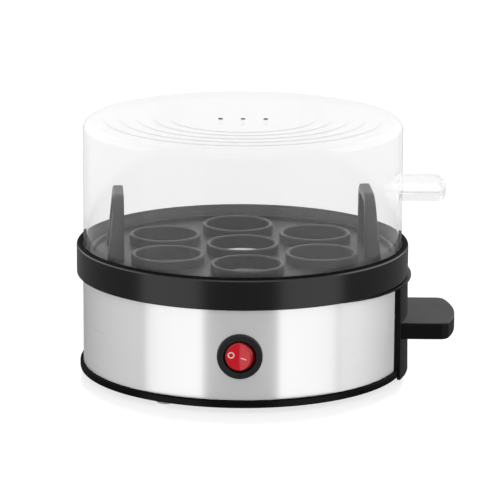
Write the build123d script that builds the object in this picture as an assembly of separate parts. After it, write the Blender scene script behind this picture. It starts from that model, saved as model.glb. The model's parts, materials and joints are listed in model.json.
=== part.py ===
from build123d import *
import math
import os

# Countertop egg boiler, in millimetres. It is drawn about the upright axis of its round body,
# standing on z = 0, with the carrying tab towards +X and the switch towards -Y.
# It is saved with its footprint centred on the origin.

# Clearances and cutting
overrun = 1.0  # a cutting shape runs this far past what it cuts
fit_gap = 0.2  # between pieces that slip together
hole_gap = 0.1  # around a screw, stem or stud in its hole
pin_gap = 0.05  # around the rocker's pins in their sockets

# Main sizes of the body
body_radius = 85.0  # outside of the black collar, the widest round piece
collar_low = 52.3  # underside of the collar above the table
collar_height = 16.3
collar_edge = 2.0  # rounding of the collar's upper edge
collar_low_edge = 0.6
collar_wall = 3.0  # collar outside the steel band

# Rubber feet
foot_count = 3
foot_radius = 4.8
foot_height = 2.5
foot_seat = 0.6  # depth of the recess that a foot sits in
foot_inset = 9.5  # from the bottom rim in to the foot's centre
foot_stem_radius = 2.0
foot_edge = 0.8

# Bottom cover
rim_inset = 1.5  # the bottom rim is this much smaller than the collar
rim_height = 3.8
rim_edge = 0.6
floor_thickness = 3.0
locating_ring_wall = 2.0
locating_ring_height = 3.5
vent_slot_count = 12
vent_slot_length = 16.0
vent_slot_width = 3.0
vent_slot_ring = 34.0

# Steel band and the moulded housing behind it
band_thickness = 0.6
band_tuck = 1.0  # how far the band reaches into the rim and behind the collar
band_opening = 17.5  # degrees each side of +X left open behind the handle cover
housing_wall = 2.4

# Lid seat and plate seat inside the collar
pocket_depth = 8.6
pocket_gap = 0.7  # around the lid in its pocket
pocket_wall = 2.8
ledge_width = 8.2
ledge_thickness = 2.5
skirt_wall = 2.0
seat_depth = 12.0  # from the ledge down to the flange that carries the heating plate
flange_width = 8.0
flange_thickness = 2.0
boss_count = 3
boss_radius = 3.6

# Screws
screw_radius = 1.5
screw_head_radius = 3.0
screw_head_height = 1.2
screw_slot_width = 0.8
screw_slot_depth = 0.6
cover_screw_grip = 14.0

# Heating plate, its seal and its clamps
seal_thickness = 1.0
seal_margin = 0.5
plate_thickness = 0.8
plate_gap = 0.8  # around the plate's lip
plate_lip_width = 6.2
dish_depth = 8.8
dish_slope = 7.0  # how much smaller the dish is at its bottom
stud_radius = 2.0
stud_length = 10.2
stud_inset = 3.0  # from the edge of the dish's flat bottom
clamp_width = 12.0
clamp_thickness = 1.5
clamp_drop = 2.2  # from the plate down to the clamp
clamp_tail = 4.2  # from the stud to the clamp's inner end
clamp_reach = 3.0  # of the clamp under the flange, short of the skirt
nut_radius = 3.9
nut_height = 3.2

# Heater under the plate
spreader_margin = 8.0
spreader_thickness = 2.5
element_inset = 8.0  # from the spreader's edge to the middle of the tube
element_radius = 3.3
element_flat = 0.5  # how much of the tube's top is pressed flat
element_gap = 30.0  # degrees from the gap's middle to each tube end
insulator_radius = 2.6
insulator_length = 6.0
element_pin_radius = 1.2
element_pin_spread = 6.4  # from the gap's middle to each pin's tip

# Thermostat
thermostat_radius = 8.0
thermostat_cap_height = 3.5
thermostat_body_height = 8.4
thermostat_margin = 0.2
thermostat_screw_spread = 11.9  # from the middle to each screw
bracket_thickness = 0.8
bracket_end_radius = 3.6
pillar_radius = 3.2
sensor_screw_radius = 1.4
sensor_head_radius = 2.6
sensor_head_height = 1.8
sensor_screw_grip = 4.5
blade_thickness = 0.8
blade_width = 6.3
blade_length = 12.0
blade_start = 2.2  # inner end of each blade from the middle

# Thermal fuse and its clip
fuse_radius = 2.0
fuse_length = 11.0
fuse_lead_radius = 0.5
fuse_lead_length = 8.0
fuse_ring_share = 0.5455  # of the heater's ring, behind the body's axis
clip_thickness = 0.9
clip_width = 6.0
clip_foot = 8.0
clip_screw_grip = 1.6

# Terminal block on the floor
block_width = 40.0
block_depth = 12.0
block_height = 10.0
block_back = 32.6  # from the block to the housing's back wall
block_shift = 5.0  # sideways from the body's axis
port_pitch = 13.0
port_radius = 1.6
port_height = 4.5
port_depth = 4.0
port_count = 3
port_screw_radius = 1.6
port_screw_depth = 2.4

# Internal wires
wire_radius = 1.2
wire_bend = 3.0
wire_lead = 4.0  # straight run at a terminal
wire_clearance = 0.6  # under a wire that runs along the floor
tag_radius = 4.0
tag_thickness = 0.8
tag_length = 8.0
tag_tail_width = 3.0
tag_turn = 14.0  # how far past the stud the earth wire drops

# Rocker switch
switch_height = 28.7
bezel_radius = 11.3
bezel_hole_radius = 8.1
bezel_proud = 2.2  # bezel front ahead of the band
bezel_edge = 1.0
barrel_radius = 9.9
barrel_length = 22.0
barrel_back = 4.0
bezel_notch_width = 1.2
bezel_notch_depth = 0.4
wing_width = 4.0
wing_rise = 1.5
wing_length = 4.5
rocker_radius = 7.8
rocker_pivot_depth = 3.7  # pivot behind the bezel's front
rocker_sink = 0.4  # middle of the rocker's face behind the bezel's front
rocker_back = 2.0  # rocker behind its pivot
rocker_tilt = 8.0  # degrees, each half of the face and each way of the swing
rocker_pin_radius = 1.0
rocker_pin_reach = 9.2
switch_blade_width = 4.8
switch_blade_pitch = 6.0
switch_blade_length = 8.0
lamp_radius = 2.0
lamp_length = 9.0

# Cord gland at the back
gland_height = 15.0
gland_flange_radius = 7.5
gland_proud = 3.9
gland_neck_radius = 5.4
gland_bore_radius = 3.3
gland_tail = 6.0  # behind the housing
gland_edge = 1.0

# Handle with its cover
cover_angle = 19.2  # degrees each side of +X
cover_skirt = 4.3  # of the cover down over the rim
cover_flare = 0.6  # how much wider the cover is at its foot
cover_edge = 0.5
lip_proud = 1.7  # lip ahead of the collar
lip_drop = 0.4  # from the collar down to the lip
lip_thickness = 0.9
lip_curve = 77.5  # radius of the lip's front, tighter than the body's
lip_angle = 52.0  # degrees each side of +X
lip_edge = 0.2
handle_projection = 24.3  # from the collar out to the end of the tab
handle_half_width = 27.5
handle_low = 23.4
handle_thickness = 8.4
handle_end_radius = 77.0
handle_corner = 5.0
handle_edge = 0.7
handle_wall = 2.4
handle_pocket_depth = 4.6
handle_pocket_root = 8.0  # solid part of the tab outside the cover
handle_screw_spread = 16.0
handle_screw_grip = 7.0

# Egg tray
tray_gap = 1.4  # inside the lid
tray_thickness = 2.0
tray_rim_wall = 2.0
tray_rim_height = 2.0
tray_turn = 4.0  # degrees that the tray is turned in its seat
cup_count = 6  # around the middle cup
cup_radius = 16.5
cup_wall = 2.0
cup_height = 5.0
cup_ring_share = 0.5747  # of the tray's radius
cup_edge = 0.8
steam_hole_radius = 3.0
steam_ring_share = 0.58  # of the cups' ring
outer_steam_gap = 5.0
loop_gap = 3.5  # from the cups to a lifting loop
loop_half_width = 20.0
loop_height = 33.0
loop_strap = 5.0
loop_top_depth = 5.0
loop_foot_depth = 8.5
loop_corner = 10.0

# Clear lid
lid_wall = 1.8
lid_height = 71.6
lid_edge = 5.0
lid_ridge_radius = 0.6
lid_ridge_sink = 0.35
lid_ridge_pitch = 8.5
lid_ridge_margin = 5.7  # from the lid's rounded edge in to the first ridge
lid_ridge_count = 5
vent_disc_radius = 19.0
vent_disc_depth = 0.2
vent_radius = 1.15
vent_pitch = 11.5
vent_count = 3
lid_tab_projection = 22.0  # from the lid's side out to the end of the tab
lid_tab_half_width = 22.0
lid_tab_rise = 39.0  # top of the tab above the lid's foot
lid_tab_depth = 5.0
lid_tab_wall = 1.6
lid_tab_corner = 4.0
lid_tab_edge = 0.6

# Heights worked out from the sizes above
floor_top = foot_height + floor_thickness
rim_top = foot_height + rim_height
collar_top = collar_low + collar_height
ledge_top = collar_top - pocket_depth
ledge_low = ledge_top - ledge_thickness
flange_top = ledge_top - seat_depth
flange_low = flange_top - flange_thickness
plate_lip_low = flange_top + seal_thickness
plate_lip_top = plate_lip_low + plate_thickness
dish_low = plate_lip_low - dish_depth
spreader_low = dish_low - spreader_thickness
element_height = spreader_low - element_radius + element_flat
bracket_top = spreader_low - thermostat_cap_height
bracket_low = bracket_top - bracket_thickness
thermostat_low = bracket_low - thermostat_body_height
clamp_top = dish_low - clamp_drop
clamp_low = clamp_top - clamp_thickness
nut_low = clamp_low - nut_height
fuse_height = spreader_low - fuse_radius - pin_gap
port_level = floor_top + port_height
wire_floor_level = floor_top + wire_clearance + wire_radius
blade_level = thermostat_low - blade_thickness / 2
handle_top = handle_low + handle_thickness
cover_high = collar_low - lip_drop
tray_top = ledge_top + tray_thickness
lid_top = ledge_top + lid_height
lid_tab_top = ledge_top + lid_tab_rise

# Radii worked out from the sizes above
rim_radius = body_radius - rim_inset
lip_radius = body_radius + lip_proud
handle_reach = body_radius + handle_projection
band_radius = body_radius - collar_wall - fit_gap
housing_radius = band_radius - band_thickness - fit_gap
housing_inner = housing_radius - housing_wall
block_front = housing_inner - block_back - block_depth
pocket_radius = body_radius - pocket_wall
lid_radius = pocket_radius - pocket_gap
lid_inner = lid_radius - lid_wall
lid_tab_reach = lid_radius + lid_tab_projection
skirt_inner = pocket_radius - ledge_width
skirt_outer = skirt_inner + skirt_wall
flange_inner = skirt_outer - flange_width
plate_lip_radius = skirt_inner - plate_gap
dish_radius = plate_lip_radius - plate_lip_width
dish_floor_radius = dish_radius - dish_slope
spreader_radius = dish_floor_radius - spreader_margin
element_ring = spreader_radius - element_inset
fuse_offset = element_ring * fuse_ring_share
stud_ring = dish_floor_radius - stud_inset
boss_ring = (flange_inner + skirt_outer) / 2
foot_ring = rim_radius - foot_inset
tray_radius = lid_inner - tray_gap
cup_outer = cup_radius + cup_wall
cup_ring = tray_radius * cup_ring_share
loop_inner = cup_ring * math.cos(math.pi / cup_count) + cup_outer + loop_gap

# Places along the switch's axis, all in front of the body
bezel_front = -(band_radius + bezel_proud)
pivot_y = bezel_front + rocker_pivot_depth
barrel_end = bezel_front + barrel_length
switch_blade_end = barrel_end + switch_blade_length
frame_shift = -(handle_reach - body_radius) / 2

stand = (Align.CENTER, Align.CENTER, Align.MIN)
corner = (Align.MIN, Align.MIN, Align.MIN)


def turns(count, first=0):
    """Evenly spread angles around the body, in degrees."""
    return [first + 360 * i / count for i in range(count)]


foot_angles = turns(foot_count)
boss_angles = turns(boss_count, 180 / boss_count)


def disc(radius, low, high):
    """Upright cylinder on the body's axis."""
    return Pos(0, 0, low) * Cylinder(radius, high - low, align=stand)


def ring(inner, outer, low, high):
    """Upright tube on the body's axis."""
    return disc(outer, low, high) - disc(inner, low - overrun, high + overrun)


def block(x, y, z):
    """Box between pairs of low and high places."""
    size = [high - low for low, high in (x, y, z)]
    return Pos(x[0], y[0], z[0]) * Box(*size, align=corner)


def rod(start, end, radius):
    """Cylinder between two points."""
    run = Vector(*end) - Vector(*start)
    return Plane(origin=start, z_dir=run) * Cylinder(radius, run.length, align=stand)


def outline(*corners):
    """Closed outline through points, each with the radius of its rounding, or 0 for a sharp corner."""
    face = make_face(Polyline(*[point[:2] for point in corners], close=True))
    for x, y, radius in corners:
        if radius:
            face = fillet(face.vertices().sort_by_distance((x, y, 0))[0], radius)
    return face


def turned(*corners):
    """Solid turned about the body's axis from an outline of (radius, height, rounding)."""
    return revolve(Plane.XZ * outline(*corners), Axis.Z)


def sector(half_angle, *corners):
    """Part of a turned solid, centred on +X."""
    return Rot(0, 0, -half_angle) * revolve(Plane.XZ * outline(*corners), Axis.Z, 2 * half_angle)


def plate_outline(*corners):
    """Outline of (x, z, rounding) in the upright plane through the body's axis and +X."""
    return Plane.XZ * outline(*corners)


def around(angles, shape):
    """Copies of a shape around the body's axis."""
    return [Rot(0, 0, angle) * shape for angle in angles]


def group(shapes):
    """Separate solids kept together as one piece."""
    return Compound([solid for shape in shapes for solid in shape.solids()])


def pan_screw(head_low, grip, head_radius, head_height, radius):
    """Slotted pan screw standing on the body's axis, head down, its shank above the head."""
    head_top = head_low + head_height
    slot_high = head_low + screw_slot_depth
    half = screw_slot_width / 2
    reach = head_radius + overrun
    slot = block((-reach, reach), (-half, half), (head_low - overrun, slot_high))
    return disc(head_radius, head_low, head_top) + disc(radius, head_top, head_top + grip) - slot


def tab_plan(root, reach, half_width, end_radius, corner_radius):
    """Plan of a grip tab: straight sides and an end that follows a wide arc."""
    strip = Pos((root + reach) / 2, 0) * Rectangle(reach - root, 2 * half_width)
    plan = strip & Pos(reach - end_radius, 0) * Circle(end_radius)
    ends = [v for v in plan.vertices() if v.X > (root + reach) / 2]
    return fillet(ends, corner_radius)


def rubber_feet():
    low_edge = foot_height + foot_seat
    foot = turned(
        (0, 0, 0),
        (foot_radius, 0, foot_edge),
        (foot_radius, low_edge, 0),
        (foot_stem_radius, low_edge, 0),
        (foot_stem_radius, floor_top, 0),
        (0, floor_top, 0),
    )
    return group(around(foot_angles, Pos(foot_ring, 0, 0) * foot))


def bottom_cover():
    groove_inner = housing_radius - fit_gap
    groove_outer = band_radius + fit_gap
    groove_low = rim_top - band_tuck
    ring_outer = housing_inner - fit_gap
    cover = turned(
        (0, foot_height, 0),
        (rim_radius, foot_height, rim_edge),
        (rim_radius, rim_top, rim_edge),
        (groove_outer, rim_top, 0),
        (groove_outer, groove_low, 0),
        (housing_radius, groove_low, 0),
        (groove_inner, floor_top, 0),
        (0, floor_top, 0),
    )
    cover += ring(ring_outer - locating_ring_wall, ring_outer, floor_top, floor_top + locating_ring_height)
    seat = disc(foot_radius + fit_gap, foot_height - overrun, foot_height + foot_seat)
    seat += disc(foot_stem_radius + hole_gap, foot_height, floor_top + overrun)
    hole = disc(screw_radius + hole_gap, foot_height - overrun, floor_top + overrun)
    hole += disc(screw_head_radius + fit_gap, foot_height - overrun, foot_height + screw_head_height)
    slot = Pos(vent_slot_ring, 0, foot_height - overrun) * extrude(
        SlotOverall(vent_slot_length, vent_slot_width), floor_thickness + 2 * overrun
    )
    cover -= around(foot_angles, Pos(foot_ring, 0, 0) * seat)
    cover -= around(boss_angles, Pos(boss_ring, 0, 0) * hole)
    cover -= around(turns(vent_slot_count, 180 / vent_slot_count), slot)
    return cover


def cover_screws():
    head_low = foot_height
    screw = pan_screw(head_low, cover_screw_grip, screw_head_radius, screw_head_height, screw_radius)
    return group(around(boss_angles, Pos(boss_ring, 0, 0) * screw))


def switch_hole():
    front = -(band_radius + overrun)
    back = -(housing_inner - 2 * overrun)
    return rod((0, front, switch_height), (0, back, switch_height), barrel_radius + fit_gap)


def gland_hole():
    y = housing_inner - 2 * overrun
    return rod((0, y, gland_height), (0, band_radius + overrun, gland_height), gland_neck_radius + fit_gap)


def handle_screw_line(side, start, end, radius):
    """Rod along +X through one of the two handle screws."""
    height = (handle_low + handle_top) / 2
    y = side * handle_screw_spread
    return rod((start, y, height), (end, y, height), radius)


def handle_screw_seat():
    """Where the screw heads bear on the inside of the housing."""
    return math.sqrt(housing_inner**2 - (handle_screw_spread + screw_head_radius) ** 2) - pin_gap


def steel_band():
    low = rim_top - band_tuck
    high = collar_low + band_tuck
    band = ring(band_radius - band_thickness, band_radius, low, high)
    gap_inner = band_radius - band_thickness - overrun
    gap_outer = band_radius + overrun
    band -= sector(
        band_opening,
        (gap_inner, low - overrun, 0),
        (gap_outer, low - overrun, 0),
        (gap_outer, high + overrun, 0),
        (gap_inner, high + overrun, 0),
    )
    return band - switch_hole() - gland_hole()


def base_housing():
    shell = ring(housing_inner, housing_radius, floor_top, ledge_low)
    shell = shell - switch_hole() - gland_hole()
    seat = handle_screw_seat()
    for side in (-1, 1):
        shell -= handle_screw_line(side, seat - overrun, housing_radius + overrun, screw_radius + hole_gap)
        shell -= handle_screw_line(side, seat - housing_wall, seat, screw_head_radius + fit_gap)
    return shell


def collar_ring():
    wall_inner = band_radius + fit_gap
    ring_part = turned(
        (body_radius, collar_low, collar_low_edge),
        (body_radius, collar_top, collar_edge),
        (pocket_radius, collar_top, pocket_gap),
        (pocket_radius, ledge_top, 0),
        (skirt_inner, ledge_top, 0),
        (skirt_inner, flange_top, 0),
        (flange_inner, flange_top, 0),
        (flange_inner, flange_low, 0),
        (skirt_outer, flange_low, 0),
        (skirt_outer, ledge_low, 0),
        (wall_inner, ledge_low, 0),
        (wall_inner, collar_low, 0),
    )
    post = disc(boss_radius, floor_top, flange_low)
    pilot_top = floor_top + cover_screw_grip + overrun
    pilot = disc(screw_radius + pin_gap, floor_top - overrun, pilot_top)
    ring_part += around(boss_angles, Pos(boss_ring, 0, 0) * post)
    return ring_part - around(boss_angles, Pos(boss_ring, 0, 0) * pilot)


def plate_seal():
    return ring(flange_inner + seal_margin, plate_lip_radius, flange_top, plate_lip_low)


def heating_plate():
    dish_top = dish_low + plate_thickness
    return turned(
        (0, dish_low, 0),
        (dish_floor_radius, dish_low, 0),
        (dish_radius, plate_lip_low, 0),
        (plate_lip_radius, plate_lip_low, 0),
        (plate_lip_radius, plate_lip_top, 0),
        (dish_radius - plate_thickness / 2, plate_lip_top, 0),
        (dish_floor_radius - plate_thickness / 2, dish_top, 0),
        (0, dish_top, 0),
    )


def plate_studs():
    stud = disc(stud_radius, dish_low - stud_length, dish_low)
    return group(around(foot_angles, Pos(stud_ring, 0, 0) * stud))


def plate_clamps():
    inner = stud_ring - clamp_tail
    riser = flange_inner - fit_gap
    end = flange_inner + clamp_reach
    step = flange_low - clamp_thickness
    strip = plate_outline(
        (inner, clamp_low, 0),
        (riser, clamp_low, 0),
        (riser, step, 0),
        (end, step, 0),
        (end, flange_low, 0),
        (riser - clamp_thickness, flange_low, 0),
        (riser - clamp_thickness, clamp_top, 0),
        (inner, clamp_top, 0),
    )
    clamp = extrude(strip, clamp_width / 2, both=True)
    clamp -= Pos(stud_ring, 0, 0) * disc(stud_radius + hole_gap, clamp_low - overrun, clamp_top + overrun)
    return group(around(foot_angles, clamp))


def plate_nuts():
    nut = Pos(0, 0, nut_low) * extrude(RegularPolygon(nut_radius, 6), nut_height)
    nut -= disc(stud_radius + pin_gap, nut_low - overrun, clamp_low + overrun)
    return group(around(foot_angles, Pos(stud_ring, 0, 0) * nut))


def sensor_screw_places():
    """Where screws come up into the spreader: two for the thermostat and one for the fuse clip."""
    bracket = [(side * thermostat_screw_spread, 0, bracket_low, sensor_screw_grip) for side in (-1, 1)]
    clip_y = fuse_offset + fuse_radius + clip_foot / 2
    return bracket + [(0, clip_y, spreader_low - clip_thickness, clip_screw_grip)]


def heat_spreader():
    spreader = disc(spreader_radius, spreader_low, dish_low)
    pillar = disc(pillar_radius, bracket_top, spreader_low)
    spreader += [Pos(side * thermostat_screw_spread, 0, 0) * pillar for side in (-1, 1)]
    for x, y, seat, grip in sensor_screw_places():
        hole = disc(sensor_screw_radius + pin_gap, seat - overrun, seat + grip + pin_gap)
        spreader -= Pos(x, y, 0) * hole
    return spreader


def element_end(side):
    """End of the heater tube on one side of its gap, and the direction it points in."""
    angle = math.radians(180 - side * element_gap)
    end = Vector(element_ring * math.cos(angle), element_ring * math.sin(angle), element_height)
    return end, Vector(-math.sin(angle), math.cos(angle), 0) * side


def element_pin_tip(side):
    """Tip of a heater pin, short of the middle of the gap."""
    end, direction = element_end(side)
    return end + direction * ((abs(end.Y) - element_pin_spread) / abs(direction.Y))


def heating_element():
    section = Plane.XZ * (Pos(element_ring, element_height) * Circle(element_radius))
    tube = revolve(section, Axis.Z, 360 - 2 * element_gap)
    tube = Rot(0, 0, 180 + element_gap) * tube
    top = element_height + element_radius + overrun
    return tube - disc(spreader_radius, spreader_low, top)


def element_insulators():
    bushes = []
    for side in (-1, 1):
        end, direction = element_end(side)
        far = end + direction * insulator_length
        bush = rod(tuple(end), tuple(far), insulator_radius)
        bushes.append(bush - rod(tuple(end), tuple(far), element_pin_radius + pin_gap))
    return group(bushes)


def element_pins():
    pins = []
    for side in (-1, 1):
        end, _ = element_end(side)
        pins.append(rod(tuple(end), tuple(element_pin_tip(side)), element_pin_radius))
    return group(pins)


def thermostat_cap():
    return disc(thermostat_radius, bracket_top, spreader_low)


def thermostat_bracket():
    length = 2 * (thermostat_screw_spread + bracket_end_radius)
    plan = SlotOverall(length, 2 * bracket_end_radius) + Circle(thermostat_radius)
    plate = Pos(0, 0, bracket_low) * extrude(plan, bracket_thickness)
    hole = disc(sensor_screw_radius + hole_gap, bracket_low - overrun, bracket_top + overrun)
    return plate - [Pos(side * thermostat_screw_spread, 0, 0) * hole for side in (-1, 1)]


def thermostat_body():
    return disc(thermostat_radius - thermostat_margin, thermostat_low, bracket_low)


def blade_tip(side):
    """Outer end of the thermostat's front or back blade."""
    return (0, side * (blade_start + blade_length), blade_level)


def thermostat_blades():
    x = (-blade_width / 2, blade_width / 2)
    z = (thermostat_low - blade_thickness, thermostat_low)
    blade = block(x, (blade_start, blade_start + blade_length), z)
    return group(around((0, 180), blade))


def sensor_screws():
    screws = []
    for x, y, seat, grip in sensor_screw_places():
        low = seat - sensor_head_height
        screw = pan_screw(low, grip, sensor_head_radius, sensor_head_height, sensor_screw_radius)
        screws.append(Pos(x, y, 0) * screw)
    return group(screws)


def fuse_lead_end(side):
    return (side * (fuse_length / 2 + fuse_lead_length), fuse_offset, fuse_height)


def thermal_fuse():
    half = fuse_length / 2
    can = rod((-half, fuse_offset, fuse_height), (half, fuse_offset, fuse_height), fuse_radius)
    return can + rod(fuse_lead_end(-1), fuse_lead_end(1), fuse_lead_radius)


def fuse_clip():
    inner = fuse_radius + pin_gap
    outer = inner + clip_thickness
    rise = spreader_low - fuse_height
    foot_low = rise - clip_thickness
    foot_end = fuse_radius + clip_foot
    saddle = Circle(outer) + Pos(0, rise / 2) * Rectangle(2 * outer, rise)
    saddle -= Pos(0, rise + overrun) * Rectangle(4 * outer, 2 * overrun)
    saddle -= Circle(inner) + Pos(0, rise / 2 + overrun / 2) * Rectangle(2 * inner, rise + overrun)
    saddle += Pos((outer + foot_end) / 2, (foot_low + rise) / 2) * Rectangle(foot_end - outer, clip_thickness)
    place = Plane(origin=(0, fuse_offset, fuse_height), x_dir=(0, 1, 0), z_dir=(1, 0, 0))
    clip = extrude(place * saddle, clip_width / 2, both=True)
    x, y, seat, _ = sensor_screw_places()[-1]
    hole = disc(sensor_screw_radius + hole_gap, seat - overrun, spreader_low + overrun)
    return clip - Pos(x, y, 0) * hole


def port_place(index):
    """Where a wire enters the terminal block."""
    x = block_shift + (index - (port_count - 1) / 2) * port_pitch
    return (x, block_front, port_level)


def terminal_block():
    x = (block_shift - block_width / 2, block_shift + block_width / 2)
    body = block(x, (block_front, block_front + block_depth), (floor_top, floor_top + block_height))
    top = floor_top + block_height
    for index in range(port_count):
        px, py, pz = port_place(index)
        body -= rod((px, py - overrun, pz), (px, py + port_depth, pz), port_radius)
        well = disc(port_screw_radius + hole_gap, top - port_screw_depth, top + overrun)
        body -= Pos(px, block_front + block_depth / 2, 0) * well
    return body


def terminal_screws():
    top = floor_top + block_height
    half = screw_slot_width / 2
    reach = port_screw_radius + overrun
    screw = disc(port_screw_radius, top - port_screw_depth, top)
    screw -= block((-reach, reach), (-half, half), (top - screw_slot_depth, top + overrun))
    y = block_front + block_depth / 2
    return group([Pos(port_place(index)[0], y, 0) * screw for index in range(port_count)])


def wire_run(*points):
    """Insulated wire along straight runs joined by bends."""
    path = FilletPolyline(*points, radius=wire_bend)
    return sweep(Plane(origin=path @ 0, z_dir=path % 0) * Circle(wire_radius), path=path)


def inside_port(index):
    x, y, z = port_place(index)
    return (x, y + port_depth, z)


def switch_blade_tip(index):
    return (index * switch_blade_pitch, switch_blade_end, switch_height)


def wire_live():
    x, y, z = inside_port(0)
    tip_x, tip_y, tip_z = switch_blade_tip(0)
    drop = tip_y + wire_lead
    return wire_run((x, y, z), (x, 0, z), (tip_x, drop, z), (tip_x, drop, tip_z), (tip_x, tip_y, tip_z))


def wire_switched():
    tip_x, tip_y, tip_z = switch_blade_tip(1)
    x, y, z = blade_tip(-1)
    drop = tip_y + wire_lead
    rise = y - 2 * wire_lead
    low = wire_floor_level
    start = [(tip_x, tip_y, tip_z), (tip_x, drop, tip_z), (tip_x, drop, low)]
    return wire_run(*start, (x, rise, low), (x, rise, z), (x, y, z))


def element_drop(side):
    """Pin tip and the point past it where the wire turns down."""
    _, direction = element_end(side)
    tip = element_pin_tip(side)
    return tuple(tip), tuple(tip + direction * wire_lead)


def wire_heater():
    x, y, z = blade_tip(1)
    tip, turn = element_drop(-1)
    low = (turn[0], turn[1], z)
    return wire_run((x, y, z), (x, y + 2 * wire_lead, z), low, turn, tip)


def wire_fuse():
    tip, turn = element_drop(1)
    x, y, z = fuse_lead_end(-1)
    rise = x - wire_lead
    low = (turn[0], turn[1], blade_level)
    return wire_run(tip, turn, low, (rise, y, blade_level), (rise, y, z), (x, y, z))


def wire_neutral():
    x, y, z = fuse_lead_end(1)
    port_x, port_y, port_z = inside_port(port_count - 1)
    return wire_run((x, y, z), (port_x, y, z), (port_x, y, port_z), (port_x, port_y, port_z))


def tag_height():
    return nut_low - tag_thickness / 2


def wire_earth():
    x, y, z = inside_port(1)
    tail = (stud_ring, tag_length, tag_height())
    drop = (stud_ring, tag_turn, tag_height())
    return wire_run((x, y, z), (x, tag_turn, z), (stud_ring, tag_turn, z), drop, tail)


def earth_tag():
    low = nut_low - tag_thickness
    tag = Pos(stud_ring, 0, 0) * disc(tag_radius, low, nut_low)
    half = tag_tail_width / 2
    tag += block((stud_ring - half, stud_ring + half), (0, tag_length), (low, nut_low))
    return tag - Pos(stud_ring, 0, 0) * disc(stud_radius + pin_gap, low - overrun, nut_low + overrun)


def along_switch(radius, start, end):
    """Rod along the switch's axis between two places in Y."""
    return rod((0, start, switch_height), (0, end, switch_height), radius)


def switch_bezel():
    front = Plane(origin=(0, bezel_front, switch_height), x_dir=(1, 0, 0), z_dir=(0, 1, 0))
    flange = front * extrude(Circle(bezel_radius), barrel_length / 2)
    flange = fillet(flange.edges().group_by(Axis.Y)[0], bezel_edge)
    flange -= disc(band_radius + pin_gap, 0, lid_top)
    shell = flange + along_switch(barrel_radius, bezel_front + bezel_edge, barrel_end)
    shell -= along_switch(bezel_hole_radius, bezel_front - overrun, barrel_end - barrel_back)
    for side in (-1, 1):
        wing_low = switch_height + side * (barrel_radius - wing_rise)
        wing_high = switch_height + side * (barrel_radius + wing_rise)
        z = (min(wing_low, wing_high), max(wing_low, wing_high))
        wing_front = -(housing_inner - fit_gap)
        half = wing_width / 2
        shell += block((-half, half), (wing_front, wing_front + wing_length), z)
        socket = switch_height + side * (rocker_pin_reach + hole_gap)
        shell -= rod((0, pivot_y, switch_height), (0, pivot_y, socket), rocker_pin_radius + pin_gap)
    shell -= along_switch(bezel_hole_radius, bezel_front - overrun, barrel_end - barrel_back)
    notch_half = bezel_notch_width / 2
    notch_y = (bezel_front - overrun, bezel_front + bezel_notch_depth)
    notch_z = (switch_height - bezel_radius - overrun, switch_height - bezel_hole_radius)
    return shell - block((-notch_half, notch_half), notch_y, notch_z)


def switch_terminals():
    half = blade_thickness / 2
    z = (switch_height - switch_blade_width / 2, switch_height + switch_blade_width / 2)
    places = [index * switch_blade_pitch for index in (-1, 0, 1)]
    return group([block((x - half, x + half), (barrel_end, switch_blade_end), z) for x in places])


def neon_lamp():
    y = barrel_end - barrel_back - lamp_radius
    half = lamp_length / 2
    return rod((-half, y, switch_height), (half, y, switch_height), lamp_radius)


def rocker():
    face_y = bezel_front + rocker_sink
    rise = 2 * rocker_radius * math.tan(math.radians(rocker_tilt))
    wide = 2 * rocker_radius
    front = bezel_front - wide
    wedge = Polyline(
        (-wide, face_y - rise), (0, face_y), (wide, face_y - rise), (wide, front), (-wide, front), close=True
    )
    low = switch_height - 2 * rocker_radius
    ball = Pos(0, pivot_y, switch_height) * Sphere(rocker_radius)
    ball -= Pos(0, 0, low) * extrude(make_face(wedge), 4 * rocker_radius)
    ball -= block((-wide, wide), (pivot_y + rocker_back, pivot_y + wide), (low, switch_height + wide))
    reach = rocker_pin_reach
    ball += rod(
        (0, pivot_y, switch_height - reach), (0, pivot_y, switch_height + reach), rocker_pin_radius
    )
    return Pos(0, pivot_y, 0) * Rot(0, 0, -rocker_tilt) * Pos(0, -pivot_y, 0) * ball


def cord_gland():
    outer_end = band_radius + gland_proud
    flange = rod((0, housing_inner, gland_height), (0, outer_end, gland_height), gland_flange_radius)
    flange = fillet(flange.edges().group_by(Axis.Y)[-1], gland_edge)
    flange -= disc(band_radius + pin_gap, 0, lid_top)
    tail = housing_inner - gland_tail
    neck = rod((0, tail, gland_height), (0, outer_end - gland_edge, gland_height), gland_neck_radius)
    bore = rod((0, tail - overrun, gland_height), (0, outer_end + overrun, gland_height), gland_bore_radius)
    return flange + neck - bore


def handle_lip():
    """Thin crescent ledge under the collar, widest in the middle of the cover."""
    inner = band_radius + fit_gap
    outer = lip_radius + overrun
    high = cover_high
    low = high - lip_thickness
    puck = turned((0, low, 0), (lip_curve, low, lip_edge), (lip_curve, high, lip_edge), (0, high, 0))
    reach = sector(
        lip_angle,
        (inner, low - overrun, 0),
        (outer, low - overrun, 0),
        (outer, high + overrun, 0),
        (inner, high + overrun, 0),
    )
    return Pos(lip_radius - lip_curve, 0, 0) * puck & reach


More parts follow.
